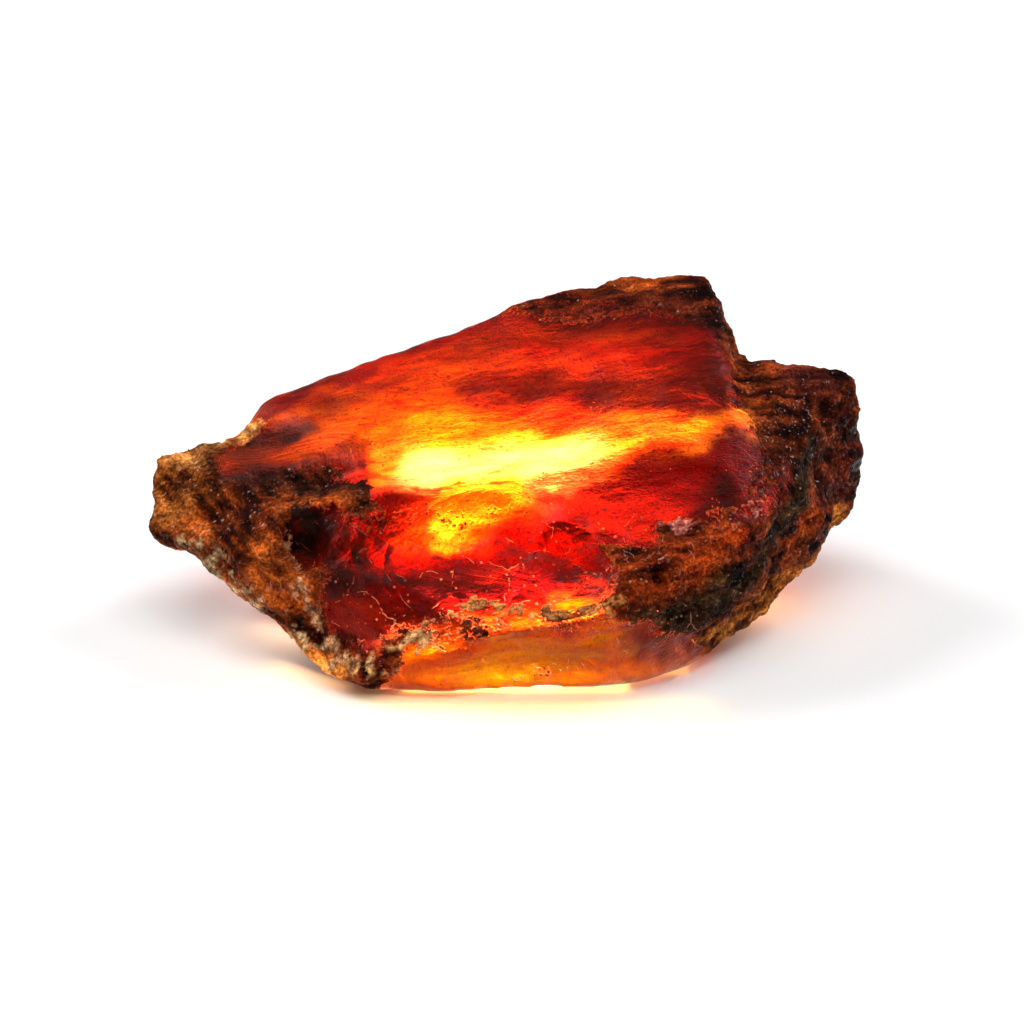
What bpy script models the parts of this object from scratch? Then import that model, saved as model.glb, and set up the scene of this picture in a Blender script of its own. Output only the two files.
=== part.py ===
"""Raw amber: one rough lump of fossil resin, lying on its worn underside.

Metres, +Z up. The origin is a point inside the base, on the surface that the stone lies on; +X is the end
with the knob and -Y is the broken front. The stone is roughed out from overlapping hulls, fused into one
body, flaked by shell-shaped hollows, given the lumps, ledges and pits of its rind, and cut flat where it
has worn to a rest.
"""

import math
import random

import bmesh
import bpy
from mathutils import Vector, noise
from mathutils.bvhtree import BVHTree

MM = 0.001

# The rough lumps, as named corners in millimetres: x towards the knob, y towards the back, z up.
BODY = {
    "crest": [
        (-27.6, 5, 18), (-24.4, 8, 20.2), (-18, 11, 21.5), (-8, 15, 23.8), (-0.5, 18, 25.2), (5.5, 20, 27),
        (12, 21, 28.3), (19.2, 20, 29), (21, 19, 28), (22, 17, 25.8), (24, 13, 21.8),
    ],
    "brow": [
        (-20, -9, 15.8), (-11, -9.7, 18.2), (-3.5, -10.2, 18.8), (4, -11.2, 18.4), (9, -9.5, 19.3),
        (15, -6, 20.9), (23, -2, 21.9),
    ],
    "ledge": [
        (-15, -17.7, 2.4), (-12, -19, 4.2), (-7, -20, 7.4), (-1.5, -20, 10), (5, -20, 9.4), (11, -19.3, 9.8),
        (19, -14.8, 7),
    ],
    "foot": [
        (-13.5, -17, -0.6), (-2.5, -17.5, -1), (6, -17, -1), (13, -15.5, -1), (18.5, -12.5, -0.2), (19, -3, -1),
        (16, 6, -0.8), (6, 10, -0.8), (-5, 9, -0.8), (-12.5, 1, -0.6), (-15, -8, -0.5),
    ],
    "back": [(-16, 16, 9), (-6, 20, 15), (4, 24, 9), (14, 24, 15), (23, 19, 10), (20, 14, 2), (-20, 12, 16)],
}
LEFT_LOBE = {
    "nose": [
        (-36, -3.2, 9.6), (-37, -1, 12.6), (-36.8, 1, 15.2), (-35.4, 2, 17), (-31.5, 4, 18.2), (-28, 5, 18.2),
    ],
    "keel": [(-32.4, -6.4, 8.5), (-28, -8, 6.5), (-24, -10.5, 4.4), (-20, -13.5, 2.4), (-15.5, -16.8, 0)],
    "shoulder": [(-28, -6, 14.8), (-20.5, -10.4, 15.9), (-19.6, -15, 8.8), (-17.1, -17.8, 4.8)],
    "back": [(-33, 7, 10), (-28, 12, 12), (-18, 14, 13), (-25, 7, 5), (-15, 5, 2.6), (-8, 0, 8)],
}
RIGHT_LOBE = {
    "brow": [(23, -2, 21.7), (31, 4, 20.4), (33.3, 3, 17.9), (34, 2, 14.4), (33, 0.6, 8.9)],
    "cheek": [
        (28.2, -4.3, 17.3), (25, -9.3, 15.4), (19, -13.4, 14.5), (13, -15.6, 14.3), (9, -18.6, 11),
        (23, -12.4, 11.2), (19, -15, 7.1), (14, -17.6, 5),
    ],
    "keel": [(30.3, -0.2, 4.7), (28.2, -3.3, 3.8), (25, -6.4, 2), (21.4, -10.4, 0.7), (18, -13.4, 0)],
    "back": [(18, 12, 3), (29, 10, 6), (20, 8, 16)],
}
KNOB = {
    "top": [
        (24.4, 13, 22.4), (30, 12.2, 22.7), (34, 11, 22.8), (35.6, 9, 21.8), (31, 4, 20.6), (23.5, -1, 21.3),
        (23.5, 6, 21.6),
    ],
    "side": [(36.7, 8, 16.2), (37.2, 7, 12.2), (36.4, 4.8, 7), (33, 2.4, 7)],
    "back": [(25, 20, 17), (31, 17, 17), (27, 19, 5), (33, 13, 6)],
    "root": [(16, 8, 19), (18, 0, 18), (16, 18, 18), (14, 4, 4)],
}
LUMPS = (BODY, LEFT_LOBE, RIGHT_LOBE, KNOB)

# Shell-shaped hollows where flakes broke off: the shell's centre and half-sizes, in millimetres.
FLAKES = {
    "slope_dish": ((-9, -14, 67.5), (70, 50, 50)),
    "front_hollow": ((-5, -25.1, 23.3), (28, 17, 17)),
    "right_face": ((15.5, -19.6, 28.1), (40, 16, 16)),
    "cherry_hollow": ((-12.6, -28.4, 13.1), (15, 14, 14)),
    "pit": ((-19.3, -12.9, 13.4), (2.5, 2.8, 3.0)),
    "foot_hollow": ((2, -30.6, 1), (26, 14, 9)),
    "keel_hollow": ((-33, -20, -9), (20, 17, 17)),
    "knob_shoulder": ((40, 22, 34), (16, 16, 16)),
    "back_scoop": ((-2, 44, 30), (34, 26, 26)),
    "back_break": ((20, 46, -6), (26, 28, 20)),
    "under_nose": ((-34, 18, -8), (20, 18, 16)),
}
FLAKE_WANDER, FLAKE_WANDER_SIZE = 0.45, 5.0  # mm, how far a shell strays from its true form, and how often

# Chips knocked off at random: how many, and the shell's radius and the deepest cut, in millimetres.
CHIPS, CHIP_SEED = 110, 11
CHIP_RADIUS, CHIP_DEPTH = (6.0, 18.0), (0.2, 0.7)
CHIP_FLOOR = 2.5  # mm, lower than this no chip is struck

# Faces that take no chips: centre and half-sizes, in millimetres.
KEPT = {
    "slope": ((-3, 3, 21), (20, 12, 6)),
    "slope_top": ((12, 10, 25), (13, 10, 6)),
    "hollow": ((-4, -13, 14), (14, 6, 6)),
    "right_face": ((15, -9, 18), (13, 9, 8)),
    "foot": ((2, -18, 3), (13, 4, 4)),
    "shoulder": ((-23, -11, 10), (8, 8, 8)),
}

# Where the rind is rough: centre and half-sizes of each patch, in millimetres.
RIND = {
    "nose": ((-31, -2, 12), (13, 15, 10)),
    "band": ((-18, -7, 17), (12, 4, 3)),
    "peak": ((17, 20, 28), (17, 8, 6)),
    "knob": ((31, 11, 17), (10, 11, 11)),
    "lobe": ((23, -11, 8), (14, 9, 10)),
    "ledge": ((-8, -19, 7), (13, 4, 3)),
    "back": ((-4, 22, 12), (30, 9, 14)),
}

VOXEL = 0.6  # mm, the grid that fuses the lumps
WORN = 5  # passes that round the fresh corners
LUMP_SIZE, LUMP_HEIGHT = 9.0, 1.2  # mm, the swellings all over
STEP_SIZE, STEP_HEIGHT, STEPS = 6.5, 1.3, 4  # mm, mm, and how many ledges a swelling of the rind breaks into
PIT_SIZE, PIT_DEPTH = 2.3, 1.3  # mm, the pits of the rind
GRAIN = Vector((0.45, 1.0, 1.6))  # the ledges run along the stone
SMOOTH_SHARE = 0.3  # how much of the relief the fresh faces keep
TRIANGLES = 9400

COLOUR = (0.62, 0.16, 0.02, 1.0)
ROUGHNESS = 0.35
REFRACTION = 1.54
CLEARNESS = 0.6  # how much of the light goes through
SHARP = math.radians(50)  # edges sharper than this stay crisp


def hull(bm, lump):
    """Adds the convex hull of a lump's corners."""
    corners = [bm.verts.new(Vector(c)) for row in lump.values() for c in row]
    made = bmesh.ops.convex_hull(bm, input=corners)
    inner = {v for v in made["geom_interior"] if isinstance(v, bmesh.types.BMVert)}
    bmesh.ops.delete(bm, geom=list(inner), context="VERTS")


def fused(lumps):
    """The lumps as one closed mesh, in millimetres."""
    bm = bmesh.new()
    for lump in lumps:
        hull(bm, lump)
    mesh = bpy.data.meshes.new("rough")
    bm.to_mesh(mesh)
    bm.free()
    return evaluated(mesh, "REMESH", mode="VOXEL", voxel_size=VOXEL)


def thinned(mesh):
    """The mesh with its faces merged down to the number wanted."""
    triangles = sum(len(p.vertices) - 2 for p in mesh.polygons)
    return evaluated(mesh, "DECIMATE", ratio=TRIANGLES / triangles)


def evaluated(mesh, kind, **settings):
    """The mesh after one modifier."""
    holder = bpy.data.objects.new("holder", mesh)
    bpy.context.scene.collection.objects.link(holder)
    modifier = holder.modifiers.new(kind.lower(), kind)
    for name, value in settings.items():
        setattr(modifier, name, value)
    graph = bpy.context.evaluated_depsgraph_get()
    changed = bpy.data.meshes.new_from_object(holder.evaluated_get(graph))
    bpy.data.objects.remove(holder)
    return changed


def smooth(bm, passes):
    for _ in range(passes):
        bmesh.ops.smooth_vert(bm, verts=bm.verts, factor=0.5, use_axis_x=True, use_axis_y=True, use_axis_z=True)


def wear(bm):
    smooth(bm, WORN)


def soften(bm):
    smooth(bm, 1)


def strike(bm, centre, radii):
    """Pushes what lies inside a shell out to it, which leaves a hollow. The shell strays a little."""
    centre, radii = Vector(centre), Vector(radii)
    wander = FLAKE_WANDER / min(radii)
    for v in bm.verts:
        p = v.co - centre
        reach = math.sqrt(sum((p[i] / radii[i]) ** 2 for i in range(3)))
        shell = 1 + wander * noise.noise(v.co / FLAKE_WANDER_SIZE)
        if 0 < reach < shell:
            v.co = centre + p * (shell / reach)


def strike_flakes(bm):
    for flake in FLAKES.values():
        strike(bm, *flake)


def strike_chips(bm):
    """Small flakes all round, each where a ray from outside meets the stone."""
    draw = random.Random(CHIP_SEED)
    middle = Vector((0, 0, 12))
    for _ in range(CHIPS):
        way = Vector(draw.gauss(0, 1) for _ in range(3)).normalized()
        radius, depth = draw.uniform(*CHIP_RADIUS), draw.uniform(*CHIP_DEPTH)
        target = middle + Vector((draw.uniform(-24, 24), draw.uniform(-8, 8), draw.uniform(-4, 4)))
        place, normal, _, _ = BVHTree.FromBMesh(bm).ray_cast(target + way * 100, -way)
        if place is None or place.z < CHIP_FLOOR or within_any(place, KEPT):
            continue
        strike(bm, place + normal * (radius - depth), (radius, radius, radius))


def within(point, patch):
    """1 in the heart of a patch, falling to 0 at its edge."""
    centre, radii = patch
    reach = math.sqrt(sum(((point[i] - centre[i]) / radii[i]) ** 2 for i in range(3)))
    return max(0.0, min(1.0, 2.2 * (1 - reach)))


def within_any(point, patches):
    return any(within(point, patch) > 0 for patch in patches.values())


def ledges(value):
    """A smooth field from -1 to 1 broken into flat steps with short risers."""
    level = (value + 1) / 2 * STEPS
    tread = math.floor(level)
    riser = max(0.0, (level - tread - 0.6) / 0.4)
    return (tread + riser * riser * (3 - 2 * riser)) / STEPS * 2 - 1


def relief(point):
    """How far the surface stands out at a point, in millimetres."""
    rough = max(within(point, patch) for patch in RIND.values())
    share = SMOOTH_SHARE + (1 - SMOOTH_SHARE) * rough
    along = point * GRAIN
    lumps = LUMP_HEIGHT * noise.noise(point / LUMP_SIZE)
    steps = STEP_HEIGHT * ledges(noise.noise(along / STEP_SIZE + Vector((7, 3, 1))))
    pits = PIT_DEPTH * min(0.0, noise.noise(point / PIT_SIZE) + 0.25)
    return share * lumps + rough * (steps + pits)


def roughen(bm):
    """Moves each vertex out along its normal by the relief."""
    bm.normal_update()
    moves = [(v, v.normal * relief(v.co)) for v in bm.verts]
    for v, move in moves:
        v.co += move


def cut_base(bm):
    """Cuts off what is below the rest plane, and closes the cut with one flat face."""
    everything = bm.verts[:] + bm.edges[:] + bm.faces[:]
    cut = bmesh.ops.bisect_plane(bm, geom=everything, plane_co=(0, 0, 0), plane_no=(0, 0, 1), clear_inner=True)
    rim = [e for e in cut["geom_cut"] if isinstance(e, bmesh.types.BMEdge)]
    bmesh.ops.holes_fill(bm, edges=rim)
    bmesh.ops.recalc_face_normals(bm, faces=bm.faces)


def to_metres(bm):
    bmesh.ops.scale(bm, vec=(MM, MM, MM), verts=bm.verts)


def reworked(mesh, *steps):
    """The mesh after each step has changed it."""
    bm = bmesh.new()
    bm.from_mesh(mesh)
    for step in steps:
        step(bm)
    bm.to_mesh(mesh)
    bm.free()
    return mesh


def amber():
    """Fossil resin: see-through, orange to cherry red."""
    material = bpy.data.materials.new("amber")
    material.use_nodes = True
    resin = material.node_tree.nodes["Principled BSDF"].inputs
    resin["Base Color"].default_value = COLOUR
    resin["Roughness"].default_value = ROUGHNESS
    resin["Metallic"].default_value = 0.0
    resin["IOR"].default_value = REFRACTION
    resin["Transmission Weight"].default_value = CLEARNESS
    return material


def main():
    for obj in list(bpy.data.objects):
        bpy.data.objects.remove(obj)
    mesh = reworked(fused(LUMPS), wear, strike_flakes, strike_chips, roughen, soften)
    mesh = reworked(thinned(mesh), cut_base, to_metres)
    mesh.shade_smooth()
    mesh.set_sharp_from_angle(angle=SHARP)
    stone = bpy.data.objects.new("raw_amber", mesh)
    stone.data.materials.append(amber())
    bpy.context.scene.collection.objects.link(stone)


main()
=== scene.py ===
"""Raw amber: the finished stone on a pale floor, lit by soft boxes above and by lamps under it that shine up
through the clear resin.

Metres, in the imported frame. The stone's skin is worked out in millimetres and put back to metres at the end:
+X is the end with the knob, -Y the broken front, +Z up.
"""
import math

import bmesh
import bpy
import numpy as np
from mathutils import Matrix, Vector, noise

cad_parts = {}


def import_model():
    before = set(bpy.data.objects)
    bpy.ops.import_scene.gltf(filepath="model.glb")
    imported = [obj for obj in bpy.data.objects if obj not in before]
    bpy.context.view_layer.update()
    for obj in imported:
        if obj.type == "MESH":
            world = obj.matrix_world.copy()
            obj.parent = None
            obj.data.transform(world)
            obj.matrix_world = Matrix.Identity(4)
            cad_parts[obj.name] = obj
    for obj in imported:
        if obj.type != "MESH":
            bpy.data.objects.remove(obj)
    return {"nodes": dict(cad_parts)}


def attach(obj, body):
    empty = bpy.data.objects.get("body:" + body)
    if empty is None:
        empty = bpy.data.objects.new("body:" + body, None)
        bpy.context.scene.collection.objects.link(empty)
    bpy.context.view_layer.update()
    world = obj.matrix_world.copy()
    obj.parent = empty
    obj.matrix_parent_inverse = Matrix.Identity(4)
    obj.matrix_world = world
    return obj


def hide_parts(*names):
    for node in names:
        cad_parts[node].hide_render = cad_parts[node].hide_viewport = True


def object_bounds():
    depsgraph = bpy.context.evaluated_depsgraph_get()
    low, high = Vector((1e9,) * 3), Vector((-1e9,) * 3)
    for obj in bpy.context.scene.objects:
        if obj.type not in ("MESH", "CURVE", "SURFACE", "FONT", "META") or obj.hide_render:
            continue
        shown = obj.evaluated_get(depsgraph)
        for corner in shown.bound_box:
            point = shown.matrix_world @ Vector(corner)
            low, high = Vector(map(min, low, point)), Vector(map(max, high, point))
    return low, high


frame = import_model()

cad_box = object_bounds()

MM = 0.001

# ---- Where the stone is what ----
# Each mark is a line of points, how far it reaches to either side (one number, or one for each axis), all in
# millimetres, the side of the stone that it is on, and what it gives. Later marks lie over earlier ones.

UP, FRONT, DOWN, BACK, RIGHT = (0, 0, 1), (0, -1, 0), (0, 0, -1), (0, 1, 0), (1, 0, 0)
ALL = None  # every side

# Small changes to the outline: how far each place is pushed.
PUSHES = {
    "knob_top": (((27, 8, 22), (33, 8, 21)), (6, 6, 5), ALL, (0, 0, 1.2)),
    "knob_side": (((34.5, 6.5, 9.5),), (5, 6, 4), ALL, (1.3, 0, 0)),
    "crest": (((3, 18, 26), (12, 19, 27)), (6, 5, 4), ALL, (0, 0.4, 0.6)),
    "peak": (((19, 19, 28),), (5, 4, 3), ALL, (0, 1.2, 0.6)),
    "nose": (((-35.5, -1, 14), (-34.5, -2, 12)), (4, 5, 5), ALL, (0.9, 0, 0)),
    "nose_top": (((-31, 1, 17.5),), (4, 4, 3), ALL, (0, 0, 0.7)),
    "keel": (((-31, -6, 9), (-22, -13, 4)), (4, 4, 4), ALL, (0.3, 0.5, 0.6)),
    "lip": (((24, -9.5, 3),), (6, 5, 5), ALL, (-0.6, 1.0, 1.0)),
    "shoulder_foot": (((-15, -16, 1.5),), (5, 5, 4), ALL, (-0.2, -0.8, 0)),
}

# Flakes struck from the faces: centre and half-sizes of the round hollow that each leaves.
SCARS = {
    "hollow_left": ((-12.5, -17.5, 16.5), (5.6, 6.2, 6.6)),
    "hollow_right": ((6, -20.5, 15.5), (7, 9.4, 7)),
    "pit": ((-19.3, -13.4, 14), (2.6, 3.4, 3.1)),
    "cherry": ((-5, -26.8, 11.5), (9, 12, 6)),
    "cherry_right": ((3.5, -23.5, 13.5), (4.5, 8.5, 4.5)),
    "chip": ((17.5, -16.2, 18.2), (3.2, 5.4, 4.6)),
    "chip_small": ((24.2, -14.2, 19.4), (2.6, 4.6, 4.4)),
}

# How closed the skin is: 1 is rind all over, 0 and below are bare resin but for stray grains.
RIND = 1.0
RINDS = {
    "slope": (((-25, 5, 18.5), (-4, 9, 22.5), (15, 6, 25)), (12, 18, 8), UP, -0.45),
    "slope_low": (((-14, -4, 18.5), (22, -3, 21)), (6.5, 6, 4), ALL, -0.45),
    "brow": (((-10, -8.5, 18), (8, -8, 18)), (5, 4.5, 4), ALL, -0.45),
    "brow_right": (((8, -8, 18), (21, -5.5, 20)), (5, 4.5, 4), ALL, -0.45),
    "peak": (((4, 17.5, 26.2), (19, 16, 27.3)), (7, 6, 4), ALL, 0.5),
    "slope_right": (((14, 9, 25), (21, 3, 24)), (5, 8, 4), UP, 0.2),
    "front": (((-13, -12, 12), (0, -12, 12), (12, -11, 15), (22, -8, 17.5)), (7, 7, 7), FRONT, -0.4),
    "cherry": (((-15, -14.5, 8), (-4, -15.5, 9.5), (7, -16, 10.5)), (6.5, 6, 6), FRONT, -0.1),
    "foot": (((-7, -18, 2), (2, -18, 4.5), (11, -18.5, 5), (16, -15, 3)), (5, 5, 6.5), ALL, -0.2),
    "foot_low": (((-9, -17.8, 0.3), (12, -16.8, 0.3), (17, -14, 0.5)), (4, 4, 3), ALL, -0.3),
    "nose_top": (((-31, 1, 17), (-26, 4, 18.8)), (4.5, 4.5, 3), ALL, 0.8),
    "lobe_top": (((21, -9, 15), (28, -4, 18)), (6, 5, 4), ALL, 0.4),
    "shoulder": (((-22, -8, 12), (-19, -12.5, 8)), (4.5, 5, 5), ALL, 0.7),
    "shoulder_red": (((-16, -14, 9), (-13, -16, 5)), (3.2, 4, 4), FRONT, 0.1),
    "pit": (((-18.6, -10.6, 13.8),), (5, 6, 5), ALL, -0.5),
    "knob": (((29, 8, 22),), (7, 7, 3), UP, 0.5),
    "knob_edge": (((36, 7, 14),), (3, 5, 8), RIGHT, 0.2),
    "base": (((-10, -4, 0), (15, -4, 0)), (12, 20, 3), DOWN, -0.3),
    "under_back": (((-14, 14, 4), (20, 15, 4)), (12, 14, 10), DOWN, -0.1),
    "back": (((-28, 8, 16), (-18, 15, 17), (0, 20, 19), (16, 22, 19)), (10, 10, 15), BACK, -0.3),
}

# The share of red, green and blue light that the resin's skin lets through; in the band, the front's yellow patch and
# the brow line it is partly painted glow, and in the pit it is painted shade.
RESIN = (0.22, 0.02, 0.001)
RESINS = {
    "slope": (((-26, 3, 18), (-3, 6, 21.5)), (10, 12, 5), UP, (0.32, 0.14, 0.001)),
    "slope_bright": (((-19, 1, 19), (-7, 3, 20)), (8, 5.5, 4), UP, (0.72, 0.34, 0.003)),
    "slope_mid": (((2, 6, 22.5), (18, 2, 23)), (8, 8, 4), UP, (0.24, 0.055, 0.001)),
    "slope_patch": (((0, 7, 22.4), (6, 6.6, 23)), (4.5, 2.8, 3), UP, (0.42, 0.11, 0.002)),
    "slope_top": (((-16, 13, 22.5), (2, 15, 25), (14, 11, 26)), (7, 5, 4), UP, (0.15, 0.048, 0.001)),
    "crest": (((-24, 6, 19), (-10.7, 12.7, 23.1), (5.6, 18.1, 26.6)), (3, 2, 1.8), ALL, (0.09, 0.010, 0.001)),
    "peak": (((4, 17, 26.5), (18, 14, 27.5)), (8, 7, 5), ALL, (0.045, 0.004, 0.001)),
    "slope_end": (((-28, 3, 17.8), (-22, 2, 18.6)), (4, 2.6, 3), ALL, (0.06, 0.012, 0.004)),
    "fold": (((-3, 3.5, 20.7), (4, 1.5, 20.8), (12, -0.8, 21.4)), (3, 2.4, 3), UP, (0.62, 0.15, 0.003)),
    # The band, with its edge and tail, is the resin's clear amber made near white and yellow where the light shining
    # up through the stone is hottest: painted glow on the resin's own colour.
    "band_tail": (((8, -4.6, 19.5), (18, -3.4, 21.3), (26, -1.2, 21)), (3, 2.6, 3), UP, (0.85, 0.80, 0.02)),
    "band_edge": (((-11, -5, 18.3), (-4, -5.2, 18.6), (6, -4.6, 19.4), (15, -3.4, 20.6)), (4, 5.4, 4), UP,
                  (0.9, 0.5, 0.04)),
    "band": (((-8.5, -6.2, 18.2), (-2, -6.4, 18.5), (8, -5.6, 19.4)), (4, 4.6, 4), UP, (1.0, 1.0, 0.65)),
    "front": (((-12, -11, 13), (8, -12, 14)), (6, 7, 6), FRONT, (0.21, 0.006, 0.0005)),
    "front_orange": (((-8, -10.5, 14.5), (1, -10.5, 15.5)), (4.5, 4, 4), FRONT, (0.60, 0.09, 0.003)),
    # The front's yellow patch is full yellow where the light through the hollow is brightest: painted glow on the
    # resin's own colour.
    "front_yellow": (((-5.5, -10.5, 14.4), (-4.5, -9.3, 17), (0, -9, 17.2)), (3.6, 3.4, 3.2), ALL, (1.0, 1.0, 0.06)),
    "front_right": (((1, -12, 13), (9, -12.5, 14)), (4, 5, 4), FRONT, (0.12, 0.004, 0.0005)),
    "front_left": (((-15, -11, 14), (-12.5, -13.5, 12)), (3.5, 3, 3.5), FRONT, (0.40, 0.014, 0.001)),
    # A thin brighter orange line along the brow's edge: painted highlight.
    "brow_line": (((-12, -8.8, 17.6), (-7, -8.9, 18), (-2, -8.7, 18), (3, -8.6, 17.6)), (1, 0.7, 0.7), ALL,
                  (0.5, 0.10, 0.003)),
    "right_face": (((8, -9.5, 16), (20, -7.5, 18)), (5, 5, 4), FRONT, (0.08, 0.006, 0.001)),
    "right_end": (((18, -7, 18), (28, -2, 19)), (6, 5, 4), FRONT, (0.08, 0.002, 0.001)),
    "cherry": (((-13, -15, 9), (4, -15.5, 9)), (5, 5, 3.5), FRONT, (0.09, 0.001, 0.0005)),
    "cherry_spot": (((1.6, -15.1, 10.6),), (3.6, 3, 2.4), FRONT, (0.11, 0.001, 0.0005)),
    "shoulder_red": (((-16, -14, 9), (-13, -16, 5)), (3.6, 5, 5), FRONT, (0.05, 0.003, 0.001)),
    "foot": (((-8, -18, 1.5), (2, -18, 3.5), (12, -18, 5), (18, -14, 2.5)), (6, 5, 6.5), ALL, (0.98, 0.30, 0.002)),
    "foot_bright": (((0, -18, 3), (10, -18.5, 6)), (7, 4, 4), ALL, (1.0, 0.75, 0.005)),
    "foot_right": (((14, -17, 5), (19, -13, 3.5)), (4.5, 5, 5), ALL, (0.22, 0.04, 0.002)),
    # The pit's resin is near black: painted shade in its hollow.
    "pit": (((-18.4, -10.8, 13.8),), (4.5, 5, 4.5), ALL, (0.015, 0.001, 0.001)),
    "knob_edge": (((36, 7, 14),), (4, 6, 9), RIGHT, (0.25, 0.01, 0.002)),
    "base": (((-10, -4, 0), (15, -4, 0)), (12, 20, 3), DOWN, (1.0, 1.0, 0.95)),
    "under_back": (((-14, 14, 4), (20, 15, 4)), (12, 14, 10), DOWN, (1.0, 0.9, 0.7)),
    "back": (((-28, 8, 12), (-16, 16, 13), (12, 22, 14)), (11, 10, 17), BACK, (0.9, 0.45, 0.10)),
}

# The rind's own colour.
CRUST = (0.14, 0.020, 0.003)
CRUSTS = {
    "nose": (((-33, -1, 14),), (6, 7, 7), ALL, (0.22, 0.055, 0.009)),
    "nose_rim": (((-34, -1, 17), (-29, 3, 18), (-24, 6, 19.5)), (3, 3, 2), ALL, (0.36, 0.12, 0.028)),
    "left": (((-28, -5, 12), (-20, -12, 8)), (6, 6, 6), ALL, (0.22, 0.038, 0.005)),
    "keel_edge": (((-33, -5, 9.5), (-27, -10, 5.5), (-17, -16.5, 0.5)), (3, 3, 2.2), ALL, (0.38, 0.11, 0.018)),
    "shoulder_red": (((-16, -14, 9), (-13, -16, 5)), (4, 5, 5), FRONT, (0.11, 0.008, 0.003)),
    "dark_band": (((-29, -2, 17), (-20, -5, 16.8), (-13, -7.5, 17.8)), (4, 4, 2.5), ALL, (0.03, 0.006, 0.002)),
    "peak": (((6, 15, 26.5), (19, 14, 27.5)), (8, 6, 4), ALL, (0.06, 0.008, 0.002)),
    "knob": (((31, 8, 22),), (8, 8, 4), UP, (0.05, 0.007, 0.004)),
    "lobe": (((8, -17, 8), (20, -13, 12), (30, -4, 15)), (7, 8, 7), ALL, (0.15, 0.016, 0.002)),
    "lobe_up": (((24, -5, 20), (32, 0, 19)), (6, 5, 4), ALL, (0.03, 0.004, 0.001)),
    "knob_side": (((36, 7, 14), (33, 1, 12)), (4, 7, 9), RIGHT, (0.05, 0.006, 0.002)),
    "lobe_black": (((14, -18, 7), (20, -14, 7), (26, -10, 11), (31, -1, 17)), (3.4, 5, 3.4), ALL,
                   (0.025, 0.009, 0.003)),
    "lobe_lip": (((14, -15, 0.5), (23, -9.5, 3.5), (33, 5, 6.5)), (4, 4, 3), ALL, (0.30, 0.085, 0.012)),
}

# Pale crystalline seams, which close the skin as rind does; they give their own colour. The last two, on the fresh
# chips, give instead a painted sheen: the pink that the flakes mirror from the sky.
SEAMS_AND_SHEEN = {
    "keel_strip": (((-30.5, -6.5, 10.2), (-29, -8, 8.6), (-25, -11.2, 6.2), (-21.5, -13.5, 3.6), (-18, -15.8, 1.4)),
                   3.0, ALL, (0.42, 0.25, 0.12)),
    "shoulder_ridge": (((-22, -9.5, 15), (-20.8, -11.8, 11.5), (-20, -13.1, 9), (-17.5, -14.6, 4.5), (-15, -17, 1.5)),
                       1.2, ALL, (0.42, 0.19, 0.09)),
    "front_vein": (((-15, -16.8, 2.2), (-10.2, -17.9, 4.2), (-7.5, -17.2, 6.2), (-5.2, -16.4, 7.6)), 1.9, ALL,
                   (0.75, 0.36, 0.13)),
    "vein_end": (((-5.2, -16.4, 7.6), (-3, -16, 9), (0, -17, 8.8), (5.3, -18.1, 9), (11, -18.6, 10)), 1.3, ALL,
                 (0.5, 0.17, 0.04)),
    # Painted sheen: the pink of light mirrored off two fresh flakes, laid on as crust colour.
    "chip": (((15.6, -11, 14.6), (17.5, -11.1, 14.9), (19.5, -10.6, 15.4)), 1.8, ALL, (0.60, 0.16, 0.12)),
    "chip_small": (((23, -9.7, 15.7), (24.6, -9.2, 15.9)), 1.5, ALL, (0.50, 0.13, 0.10)),
}

# ---- The stone's surface ----

GRID = 0.31  # mm, the fine surface's spacing
POLISH = 6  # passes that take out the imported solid's own flats
SAME_PLACE = 0.000002  # metres, corners nearer than this are one
STRAY, STRAY_SIZE = 1.6, 4.0  # mm, how far a mark's edge strays, and how often
FACING, FACING_BLEND = 0.25, 0.3  # how squarely the stone faces a side before a mark there starts, and its blend
ALONG = (1, 0.1, 0.1)  # the way the grain runs on the slope
DOWN_LEFT = (0.65, -0.6, -0.45)  # and on the left lobe
SLANT = (0.55, -0.2, 0.8)  # and in the front hollows

LEDGE, LUMP, GRAIN, PIMPLE = 0.30, 0.30, 0.12, 0.35  # mm, how far each kind of roughness stands out on the rind
STEPS, TREAD = 6, 0.6  # the ledges in the grain, and the flat part of each
RIPPLE, DIMPLE = 0.09, 0.10  # mm, the low waves on bare resin, along the grain and in every way
SEAM_GRIT = 0.12  # mm, how far a seam's grit stands out
BASE_BLEND = 1.5  # mm, how high above the flat base the relief comes in

# The rind's colour: how far streaks, blotches and height change it, between which limits, and the share of red,
# green and blue that an ochre blotch adds. Height darkens the rind's low places, as painted shade, and lightens its
# ridges, as wear.
RIND_STREAK, RIND_BLOTCH, RIND_HEIGHT_SHADE_AND_WEAR, RIND_LIMITS = 1.5, 1.1, 1.6, (0.12, 2.6)
OCHRE = (0.7, 0.6, 0.3)
# The resin's light: how far streaks and blotches change it, and between which limits.
RESIN_STREAK, RESIN_BLOTCH, RESIN_LIMITS = 0.30, 0.20, (0.4, 1.4)


def rows(layer, name, width):
    """One layer of a mesh's numbers as an array."""
    values = np.zeros(len(layer) * width, np.float32)
    layer.foreach_get(name, values)
    return values.reshape(-1, width).astype(float)


def bits(points, size, octaves=1, shift=(0, 0, 0)):
    """Smooth noise, about -1 to 1, as wide as size in millimetres; more octaves give it finer and finer detail."""
    scaled = (points / size + shift).tolist()
    if octaves == 1:
        return np.array([noise.noise(p) for p in scaled])
    return np.array([noise.fractal(p, 0.9, 2.1, octaves) for p in scaled])


def streaks(points, way, length, width, octaves, shift):
    """Noise drawn out along one way."""
    way = np.array(way, float) / np.linalg.norm(way)
    along = (points @ way)[:, None] * way
    return bits(along / length + (points - along) / width, 1, octaves, shift)


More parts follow.
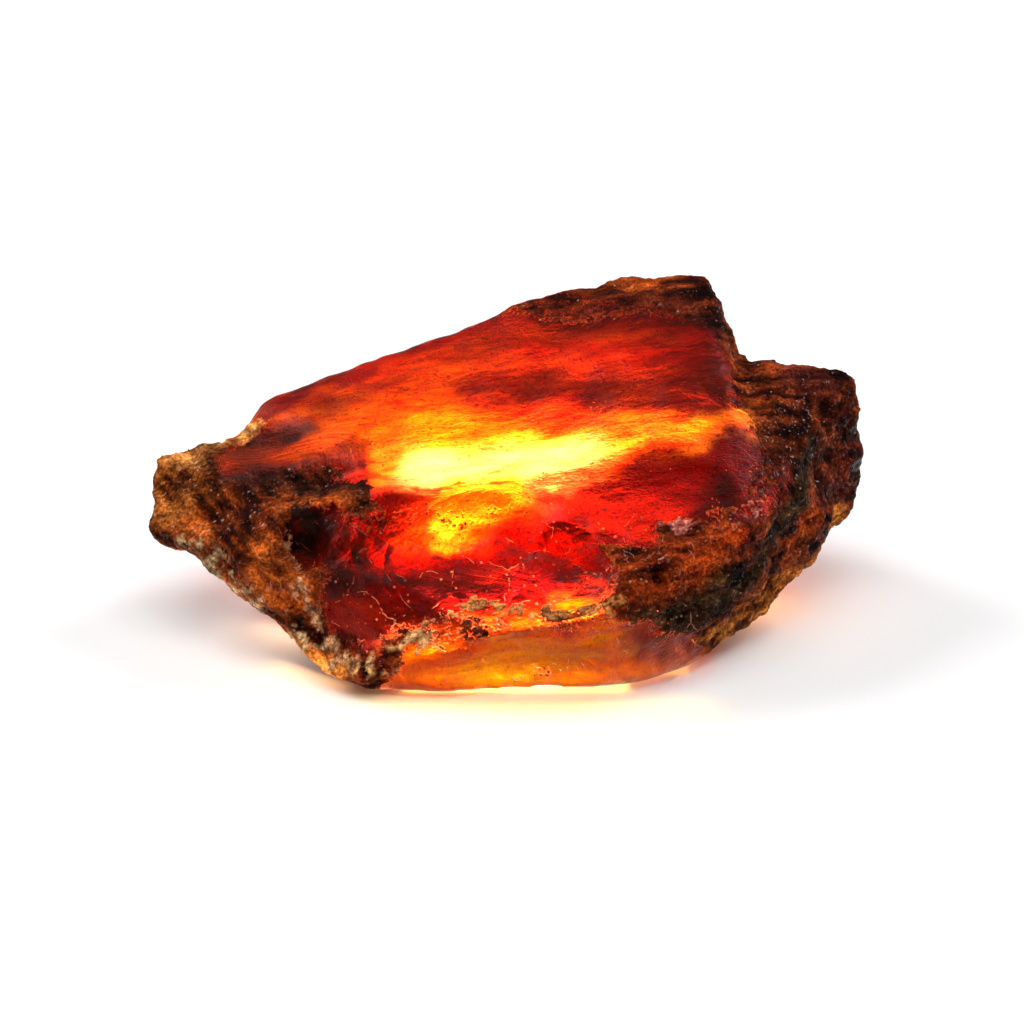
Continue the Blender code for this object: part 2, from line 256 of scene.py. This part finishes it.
def strayed(points):
    """The points pushed about a little, so that marks have natural edges."""
    wide = [bits(points, STRAY_SIZE, 1, shift) for shift in ((3, 0, 0), (0, 7, 0), (0, 0, 11))]
    fine = [bits(points, STRAY_SIZE / 4, 1, shift) for shift in ((5, 0, 0), (0, 9, 0), (0, 0, 13))]
    return points + STRAY * np.stack(wide, 1) + 0.3 * STRAY * np.stack(fine, 1)


def soft_step(value):
    """0 to 1 with a soft start and end."""
    value = np.clip(value, 0, 1)
    return value * value * (3 - 2 * value)


def mark(points, normals, line, reach, side, softness=0.7):
    """1 along the mark's line, falling to 0 at its reach; only where the stone faces the mark's side."""
    scaled, line = points / reach, np.array(line, float) / reach
    near = np.linalg.norm(scaled - line[0], axis=1)
    for a, b in zip(line, line[1:]):
        run = b - a
        t = np.clip(((scaled - a) @ run) / (run @ run), 0, 1)
        near = np.minimum(near, np.linalg.norm(scaled - a - t[:, None] * run, axis=1))
    share = soft_step((1 - near) / softness)
    if side is not None:
        share = share * soft_step((normals @ np.array(side, float) - FACING) / FACING_BLEND)
    return share


def painted(points, normals, ground, marks, softness=0.7):
    """The ground with every mark laid over it in turn."""
    values = np.tile(np.atleast_1d(np.array(ground, float)), (len(points), 1))
    for line, reach, side, gives in marks.values():
        share = mark(points, normals, line, reach, side, softness)
        values = values + share[:, None] * (np.atleast_1d(gives) - values)
    return values


def pushed(points, normals):
    """The points moved as the small changes to the outline say."""
    for line, reach, side, way in PUSHES.values():
        points = points + mark(points, normals, line, reach, side, 1.0)[:, None] * np.array(way)
    return points


def struck(points):
    """The points inside a scar's round hollow go back to its wall."""
    for centre, radii in SCARS.values():
        out = (points - centre) / radii
        depth = np.linalg.norm(out, axis=1)
        inside = depth < 1
        points[inside] = np.array(centre) + out[inside] / depth[inside, None] * radii
    return points


def evaluated(mesh, kind, **settings):
    """The mesh after one modifier."""
    holder = bpy.data.objects.new("holder", mesh)
    bpy.context.scene.collection.objects.link(holder)
    modifier = holder.modifiers.new(kind.lower(), kind)
    for name, value in settings.items():
        setattr(modifier, name, value)
    graph = bpy.context.evaluated_depsgraph_get()
    changed = bpy.data.meshes.new_from_object(holder.evaluated_get(graph))
    bpy.data.objects.remove(holder)
    return changed


def reworked(mesh, step):
    """The mesh after one step on its bmesh."""
    bm = bmesh.new()
    bm.from_mesh(mesh)
    step(bm)
    bm.to_mesh(mesh)
    bm.free()
    return mesh


def joined_in_mm(bm):
    bmesh.ops.remove_doubles(bm, verts=bm.verts, dist=SAME_PLACE)
    bmesh.ops.scale(bm, vec=(1 / MM, 1 / MM, 1 / MM), verts=bm.verts)


def polished(bm):
    for _ in range(POLISH):
        bmesh.ops.smooth_vert(bm, verts=bm.verts, factor=0.5, use_axis_x=True, use_axis_y=True, use_axis_z=True)


def to_metres(bm):
    bmesh.ops.scale(bm, vec=(MM, MM, MM), verts=bm.verts)


def ledges(value, steps):
    """A smooth field from -1 to 1 broken into flat steps with short risers."""
    level = (value + 1) / 2 * steps
    tread = np.floor(level)
    return (tread + soft_step((level - tread - TREAD) / (1 - TREAD))) / steps * 2 - 1


def relief(points, rough, left, right):
    """How far the surface stands out at each point, in millimetres."""
    top_grain = streaks(points, ALONG, 5, 1.8, 3, (7, 3, 1))
    left_grain = streaks(points, DOWN_LEFT, 6, 1.6, 3, (2, 8, 1))
    grain = top_grain + left * (left_grain - top_grain)
    broken = LEDGE * ledges(np.clip(grain, -1, 1), STEPS)
    lumps = LUMP * bits(points, 3.0, 4, (1, 5, 2))
    grains = GRAIN * bits(points, 0.8, 2, (4, 1, 8))
    pimples = right * PIMPLE * (0.4 - np.abs(bits(points, 1.7, 3, (6, 6, 1))))
    ripples = RIPPLE * top_grain + DIMPLE * bits(points, 3.5, 2, (2, 2, 9))
    return rough * (broken + lumps + grains + pimples) + (1 - rough) * ripples


def weathered_and_shaded(points, left, height, rough, resin, crust):
    """The colours after streaks, blotches and ochre, with the rind darker in its low places (painted shade) and
    lighter on its ridges (wear).
    """
    streak = streaks(points, ALONG, 6, 1.2, 4, (9, 2, 4)) * (1 - left) \
        + streaks(points, DOWN_LEFT, 7, 1.1, 4, (1, 4, 9)) * left
    blotch = bits(points, 5.0, 5, (12, 3, 6))
    # Height in the relief makes the rind darker in its low places, painted shade, and lighter on its ridges, wear.
    shade = 1 + RIND_STREAK * streak + RIND_BLOTCH * blotch + RIND_HEIGHT_SHADE_AND_WEAR * height * rough
    shade = np.clip(shade, *RIND_LIMITS)[:, None]
    ochre = np.clip(1.6 * bits(points, 3.2, 4, (5, 9, 1)) - 0.1, 0, 1)[:, None]
    crust = crust * shade ** (1.0, 1.25, 1.3) * (1 + ochre * OCHRE)
    light = np.clip(1 + RESIN_STREAK * streak + RESIN_BLOTCH * blotch, *RESIN_LIMITS)[:, None]
    return resin * light ** (0.6, 1.3, 1.5), crust


def seamed_and_sheened(points, place, normals, rind, crust, height):
    """The pale seams, and the painted pink sheen on the two chips, laid over the skin, broken up and gritty."""
    near = points + 0.35 * (place - points)
    grit = np.clip(0.5 + 1.5 * bits(points, 0.9, 3, (8, 8, 3)), 0, 1)
    broken = soft_step(0.75 + 1.8 * bits(points, 2.6, 2, (3, 1, 7)))
    for line, reach, side, colour in SEAMS_AND_SHEEN.values():
        share = broken * soft_step(2.4 * (mark(near, normals, line, reach, side, 1.0) + 0.9 * grit - 0.9))
        crust = crust + share[:, None] * (np.array(colour) * (0.3 + 1.0 * grit[:, None]) - crust)
        rind = np.maximum(rind, share)
        height = height + SEAM_GRIT * share * grit
    return rind, crust, height


def stone_mesh():
    """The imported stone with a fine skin, and its rind, resin and crust as attributes."""
    mesh = frame["nodes"]["raw_amber"].data.copy()
    mesh.materials.clear()
    mesh = reworked(mesh, joined_in_mm)
    mesh = evaluated(mesh, "REMESH", mode="VOXEL", voxel_size=GRID)
    mesh = reworked(mesh, polished)
    points = rows(mesh.vertices, "co", 3)
    normals = rows(mesh.vertex_normals, "vector", 3)
    points = struck(pushed(points, normals))
    place = strayed(points)
    rind = painted(place, normals, RIND, RINDS, 1.0)[:, 0]
    resin = painted(place, normals, RESIN, RESINS)
    crust = painted(place, normals, CRUST, CRUSTS)
    resin = resin ** (1 + 0.5 * np.clip(rind[:, None], 0, 1))

    left = soft_step((-14 - points[:, 0]) / 5)
    right = soft_step((points[:, 0] - 8) / 8) * (1 - mark(points, normals, ((30, 8, 23),), 8, UP))
    rough = soft_step(rind * 1.3)
    height = relief(points, rough, left, right)
    resin, crust = weathered_and_shaded(points, left, height, rough, resin, crust)
    rind, crust, height = seamed_and_sheened(points, place, normals, rind, crust, height)

    on_base = np.clip(points[:, 2:] / BASE_BLEND, 0, 1)
    points = points + normals * height[:, None] * on_base
    low, high = (np.array(corner) / MM for corner in cad_box)
    points = np.clip(points, low, high)
    mesh.vertices.foreach_set("co", points.astype(np.float32).ravel())
    mesh = reworked(mesh, to_metres)

    mesh.attributes.new("rind", "FLOAT", "POINT").data.foreach_set("value", rind.astype(np.float32))
    # The finish takes the root of a clear skin's colour at each crossing, so the share is squared here.
    for name, colours in (("resin", resin ** 2), ("crust", crust)):
        layer = mesh.attributes.new(name, "FLOAT_VECTOR", "POINT")
        layer.data.foreach_set("vector", colours.astype(np.float32).ravel())
    return mesh


# ---- The finish ----

# How fine each pattern is, as features in a metre, and how deep its detail goes.
CLOUDS, BLOTS, SPECKS = {"Scale": 520, "Detail": 6, "Roughness": 0.72}, {"Scale": 900, "Detail": 6}, \
    {"Scale": 3200, "Detail": 2}
CELLS, FLAKES, BENDS = {"Scale": 1700}, {"Scale": 240}, {"Scale": 500}
BEND = 0.0012  # metres, how far the edges between flakes bend
STRETCH = (3.0, 1.0, 0.8)  # how far clouds are drawn out along the grain and squeezed across it

PALE_GRAIN = (0.45, 0.28, 0.18, 1)
CRACK = (0.40, 0.17, 0.10, 1)
CLOUD_LIGHT = (0.42, 0.08, 0.03, 1)  # the share of light that a cloud lets through
SPECK_LIGHT = (0.10, 0.08, 0.06, 1)  # and a dark speck

AMBER_IOR = 1.54
SHEEN, SHEEN_TINT = 0.12, (0.14, 0.07, 0.05, 1)
BARE_ROUGHNESS, RIND_ROUGHNESS, GLINT_ROUGHNESS = 0.3, 0.8, 0.2
BUMP, BUMP_DEPTH = 0.6, 0.00025
DEPTH_COLOUR, DEPTH_DENSITY = (0.92, 0.62, 0.42, 1), 200.0


def add(tree, kind, inputs=None, **settings):
    """A new node: settings are its own properties, inputs are values or sockets to join."""
    made = tree.nodes.new(kind)
    for name, value in settings.items():
        setattr(made, name, value)
    for name, value in (inputs or {}).items():
        if isinstance(value, bpy.types.NodeSocket):
            tree.links.new(value, made.inputs[name])
        else:
            made.inputs[name].default_value = value
    return made


def spread(tree, value, low, high, to_low=0.0, to_high=1.0):
    """value taken from low..high to to_low..to_high, with a soft start and end."""
    inputs = {"Value": value, "From Min": low, "From Max": high, "To Min": to_low, "To Max": to_high}
    return add(tree, "ShaderNodeMapRange", inputs, interpolation_type="SMOOTHSTEP").outputs["Result"]


def maths(tree, operation, a, b):
    return add(tree, "ShaderNodeMath", {0: a, 1: b}, operation=operation).outputs["Value"]


def product(tree, first, *others):
    for other in others:
        first = maths(tree, "MULTIPLY", first, other)
    return first


def total(tree, first, *others):
    for other in others:
        first = maths(tree, "ADD", first, other)
    return first


def mixed(tree, share, a, b, sort, **settings):
    """From a to b by the share; sort is Color or Vector."""
    made = add(tree, "ShaderNodeMix", **settings)
    for socket, value in (("Factor_Float", share), ("A_" + sort, a), ("B_" + sort, b)):
        target = next(i for i in made.inputs if i.identifier == socket)
        if isinstance(value, bpy.types.NodeSocket):
            tree.links.new(value, target)
        else:
            target.default_value = value
    return next(o for o in made.outputs if o.identifier == "Result_" + sort)


def coloured(tree, share, a, b, kind="MIX"):
    return mixed(tree, share, a, b, "Color", data_type="RGBA", blend_type=kind)


def moved(tree, share, a, b):
    return mixed(tree, share, a, b, "Vector", data_type="VECTOR")


def drawn_out(tree, place, way):
    """The place drawn out along one way, so that noise read there runs in streaks."""
    turn = Vector(way).to_track_quat("X", "Z").to_euler()
    inputs = {"Vector": place, "Rotation": turn, "Scale": STRETCH}
    return add(tree, "ShaderNodeMapping", inputs, vector_type="TEXTURE").outputs["Vector"]


def noise_at(tree, place, settings, output="Fac"):
    return add(tree, "ShaderNodeTexNoise", {"Vector": place, **settings}).outputs[output]


def grained(tree, place, at):
    """The place drawn out along the stone, down the left lobe and slantwise in the front hollows."""
    left = product(tree, spread(tree, at["X"], -0.013, -0.019), spread(tree, at["Y"], 0.001, -0.003))
    hollow = product(tree, spread(tree, at["X"], 0.006, 0.003), spread(tree, at["Y"], -0.0085, -0.0095),
                     spread(tree, at["Z"], 0.010, 0.012))
    grain = moved(tree, left, drawn_out(tree, place, ALONG), drawn_out(tree, place, DOWN_LEFT))
    return moved(tree, hollow, grain, drawn_out(tree, place, SLANT))


def amber():
    mat = bpy.data.materials.new("amber")
    mat.use_nodes = True
    tree = mat.node_tree
    skin = tree.nodes["Principled BSDF"]
    place = add(tree, "ShaderNodeTexCoord").outputs["Object"]
    at = add(tree, "ShaderNodeSeparateXYZ", {"Vector": place}).outputs
    rind = add(tree, "ShaderNodeAttribute", attribute_name="rind").outputs["Fac"]
    resin = add(tree, "ShaderNodeAttribute", attribute_name="resin").outputs["Vector"]
    crust = add(tree, "ShaderNodeAttribute", attribute_name="crust").outputs["Vector"]
    low_front = spread(tree, at["Y"], -0.0095, -0.0120)
    foot = product(tree, spread(tree, at["Z"], 0.008, 0.005, 0.0, 0.5), low_front)
    even = maths(tree, "SUBTRACT", 1.0, foot)  # the foot has half the clouds and specks

    clouds = noise_at(tree, grained(tree, place, at), CLOUDS)
    blots = noise_at(tree, place, BLOTS)
    specks = noise_at(tree, place, SPECKS)
    cells = add(tree, "ShaderNodeTexVoronoi", {"Vector": place, **CELLS}).outputs
    lot = add(tree, "ShaderNodeSeparateColor", {"Color": cells["Color"]}).outputs
    bent = moved(tree, BEND, place, noise_at(tree, place, BENDS, "Color"))
    flakes = add(tree, "ShaderNodeTexVoronoi", {"Vector": bent, **FLAKES}, feature="DISTANCE_TO_EDGE")
    flakes = flakes.outputs["Distance"]

    # Where the rind covers the resin: its edge is ragged, and cracks and dust lie on the low front.
    dust = product(tree, spread(tree, cells["Distance"], 0.1, 0.3, 0.45, 0.0), spread(tree, lot["Blue"], 0.5, 0.9))
    ragged = total(tree, product(tree, blots, 0.7), product(tree, specks, 0.8), dust)
    cover = spread(tree, total(tree, rind, ragged), 1.1, 1.25)
    crack = product(tree, spread(tree, flakes, 0.0, 0.013, 1.0, 0.0), spread(tree, blots, 0.52, 0.62),
                    low_front, 0.8)
    dust = product(tree, dust, 1.8, low_front)
    pale = maths(tree, "MAXIMUM", crack, product(tree, dust, spread(tree, lot["Green"], 0.7, 0.8)))

    # The rind is mottled, with a pale grain here and there.
    mottle = product(tree, spread(tree, specks, 0.3, 0.7, 0.5, 1.5), spread(tree, clouds, 0.35, 0.65, 1.6, 0.4),
                     spread(tree, lot["Red"], 0.0, 1.0, 0.75, 1.25))
    dark = coloured(tree, 1.0, crust, mottle, "MULTIPLY")
    grain = product(tree, spread(tree, lot["Green"], 0.94, 0.97), spread(tree, cells["Distance"], 0.1, 0.3, 0.7, 0.0))
    dark = coloured(tree, grain, dark, PALE_GRAIN)
    dark = coloured(tree, pale, dark, CRACK)
    cover = maths(tree, "MAXIMUM", cover, pale)

    # The resin has darker clouds and specks in it.
    glow = coloured(tree, product(tree, spread(tree, clouds, 0.38, 0.64), even), resin, CLOUD_LIGHT, "MULTIPLY")
    speck = product(tree, spread(tree, specks, 0.55, 0.66, 0.0, 0.85), even)
    glow = coloured(tree, speck, glow, SPECK_LIGHT, "MULTIPLY")
    tree.links.new(coloured(tree, cover, glow, dark), skin.inputs["Base Color"])
    tree.links.new(maths(tree, "SUBTRACT", 1.0, cover), skin.inputs["Transmission Weight"])
    tree.links.new(spread(tree, cover, 0.0, 1.0, BARE_ROUGHNESS, RIND_ROUGHNESS), skin.inputs["Roughness"])

    height = total(tree, product(tree, specks, total(tree, cover, 0.4)), product(tree, cells["Distance"], cover),
                   product(tree, clouds, 2.0),
                   product(tree, spread(tree, flakes, 0.0, 0.25), product(tree, low_front, 1.6)))
    bump = add(tree, "ShaderNodeBump", {"Height": height, "Strength": BUMP, "Distance": BUMP_DEPTH})
    tree.links.new(bump.outputs["Normal"], skin.inputs["Normal"])
    skin.inputs["IOR"].default_value = AMBER_IOR
    skin.inputs["Specular IOR Level"].default_value = SHEEN
    skin.inputs["Specular Tint"].default_value = SHEEN_TINT
    glints = product(tree, spread(tree, specks, 0.60, 0.66, 0.0, 0.6), cover)
    tree.links.new(glints, skin.inputs["Coat Weight"])
    skin.inputs["Coat Roughness"].default_value = GLINT_ROUGHNESS

    depth = add(tree, "ShaderNodeVolumeAbsorption", {"Color": DEPTH_COLOUR, "Density": DEPTH_DENSITY})
    tree.links.new(depth.outputs["Volume"], tree.nodes["Material Output"].inputs["Volume"])
    return mat


def stone():
    mesh = stone_mesh()
    mesh.shade_smooth()
    mesh.materials.append(amber())
    made = bpy.data.objects.new("amber_stone", mesh)
    bpy.context.scene.collection.objects.link(made)
    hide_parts("raw_amber")
    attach(made, "root")


# ---- The camera, the light and the floor ----

AIM = (0.65, 0, 11.1)  # mm
RISE, AWAY = 25, 0.40  # degrees above the floor, and metres from the aim
SENSOR, LENS = 36, 140.6
FLOOR, FLOOR_REACH = -0.8, 3.0  # mm under the stone, so that light leaks out between them, and metres each way
SKY = 0.1  # the white world's brightness as a light
PAPER = (0.9, 0.9, 0.9, 1)

WHITE, PAD, WARM_PAD = (1, 1, 1), (1, 0.97, 0.9), (1, 0.9, 0.7)
# Where each lamp stands, the point that it faces and its size, all in millimetres, then its watts, colour and shape.
LAMPS = {
    # Soft boxes above, and at both sides.
    "softbox": ((0, -160, 490), (0, 0, 0), (450, 450), 1.8, WHITE, "RECTANGLE"),
    "left_box": ((-430, 170, 420), (0, 0, 0), (300, 300), 2.4, WHITE, "RECTANGLE"),
    "right_box": ((430, 170, 420), (0, 0, 0), (300, 300), 1.9, WHITE, "RECTANGLE"),
    # Lamps under the stone, which shine up through it, and one behind it.
    "pad": ((2, 12, -0.15), (2, 12, 1), (44, 16), 0.14, PAD, "ELLIPSE"),
    "back_pad": ((2, 40, -0.15), (2, 40, 1), (60, 24), 0.05, PAD, "ELLIPSE"),
    "front_pad": ((3, -9, -0.15), (3, -9, 1), (30, 11), 0.5, WARM_PAD, "ELLIPSE"),
    "foot_pad": ((2.5, -13.2, -0.15), (2.5, -13.2, 1), (21, 4.6), 0.12, WARM_PAD, "ELLIPSE"),
    # Small lamps under and beside the stone, which warm the floor as its own light does.
    "glow": ((1, -4.2, -0.25), (1, -4.2, -1), (22, 24), 0.0036, (1, 0.55, 0.12), "RECTANGLE"),
    "right_glow": ((15, -3, -0.25), (15, -3, -1), (6, 19), 0.0003, (1, 0.55, 0.12), "RECTANGLE"),
    "front_leak": ((2, -19.5, 2.4), (2, -21.5, -0.8), (34, 3), 0.0008, (1, 0.62, 0.05), "RECTANGLE"),
    "left_leak": ((-18, -6, 4), (-24, -14, 0), (16, 6), 0.0015, (1, 0.68, 0.45), "RECTANGLE"),
    "keel_leak": ((-19.5, -13, 2.2), (-22.5, -17, -0.8), (9, 5), 0.0003, (1, 0.5, 0.15), "RECTANGLE"),
    "right_leak": ((24, 0, 5), (27, -4, 0), (10, 14), 0.0015, (1, 0.5, 0.2), "RECTANGLE"),
}


def camera():
    aim = Vector(AIM) * MM
    rise = math.radians(RISE)
    away = Vector((0, -math.cos(rise), math.sin(rise)))
    data = bpy.data.cameras.new("camera")
    data.sensor_width = SENSOR
    data.lens = LENS
    data.clip_start, data.clip_end = 0.02, 10
    cam = bpy.data.objects.new("camera", data)
    cam.location = aim + away * AWAY
    cam.rotation_euler = (-away).to_track_quat("-Z", "Y").to_euler()
    bpy.context.scene.collection.objects.link(cam)
    bpy.context.scene.camera = cam


def lamp(name, place, aim, size, watts, colour, shape):
    """A flat lamp at place, shining towards aim."""
    data = bpy.data.lights.new(name, "AREA")
    data.shape = shape
    data.size, data.size_y = size[0] * MM, size[1] * MM
    data.energy = watts
    data.color = colour
    made = bpy.data.objects.new(name, data)
    made.location = Vector(place) * MM
    way = (Vector(aim) - Vector(place)).normalized()
    made.rotation_euler = way.to_track_quat("-Z", "Y").to_euler()
    made.visible_camera = False
    bpy.context.scene.collection.objects.link(made)


def world(brightness):
    """White behind everything; as a light on the stone it has the brightness given."""
    made = bpy.data.worlds.new("studio")
    made.use_nodes = True
    bpy.context.scene.world = made
    tree = made.node_tree
    tree.nodes["Background"].inputs["Color"].default_value = (1, 1, 1, 1)
    seen = tree.nodes.new("ShaderNodeLightPath")
    share = tree.nodes.new("ShaderNodeMapRange")
    share.inputs["To Min"].default_value = brightness
    share.inputs["To Max"].default_value = 1.0
    tree.links.new(seen.outputs["Is Camera Ray"], share.inputs["Value"])
    tree.links.new(share.outputs["Result"], tree.nodes["Background"].inputs["Strength"])


def floor():
    bm = bmesh.new()
    bmesh.ops.create_grid(bm, x_segments=1, y_segments=1, size=FLOOR_REACH)
    bmesh.ops.translate(bm, vec=(0, 0, FLOOR * MM), verts=bm.verts)
    mesh = bpy.data.meshes.new("floor")
    bm.to_mesh(mesh)
    bm.free()
    made = bpy.data.objects.new("floor", mesh)
    bpy.context.scene.collection.objects.link(made)
    paper = bpy.data.materials.new("paper")
    paper.use_nodes = True
    p = paper.node_tree.nodes["Principled BSDF"].inputs
    p["Base Color"].default_value = PAPER
    p["Roughness"].default_value = 0.9
    p["Specular IOR Level"].default_value = 0.0
    mesh.materials.append(paper)


bpy.context.scene.view_settings.view_transform = "Standard"
camera()
world(SKY)
for name, settings in LAMPS.items():
    lamp(name, *settings)
floor()
stone()
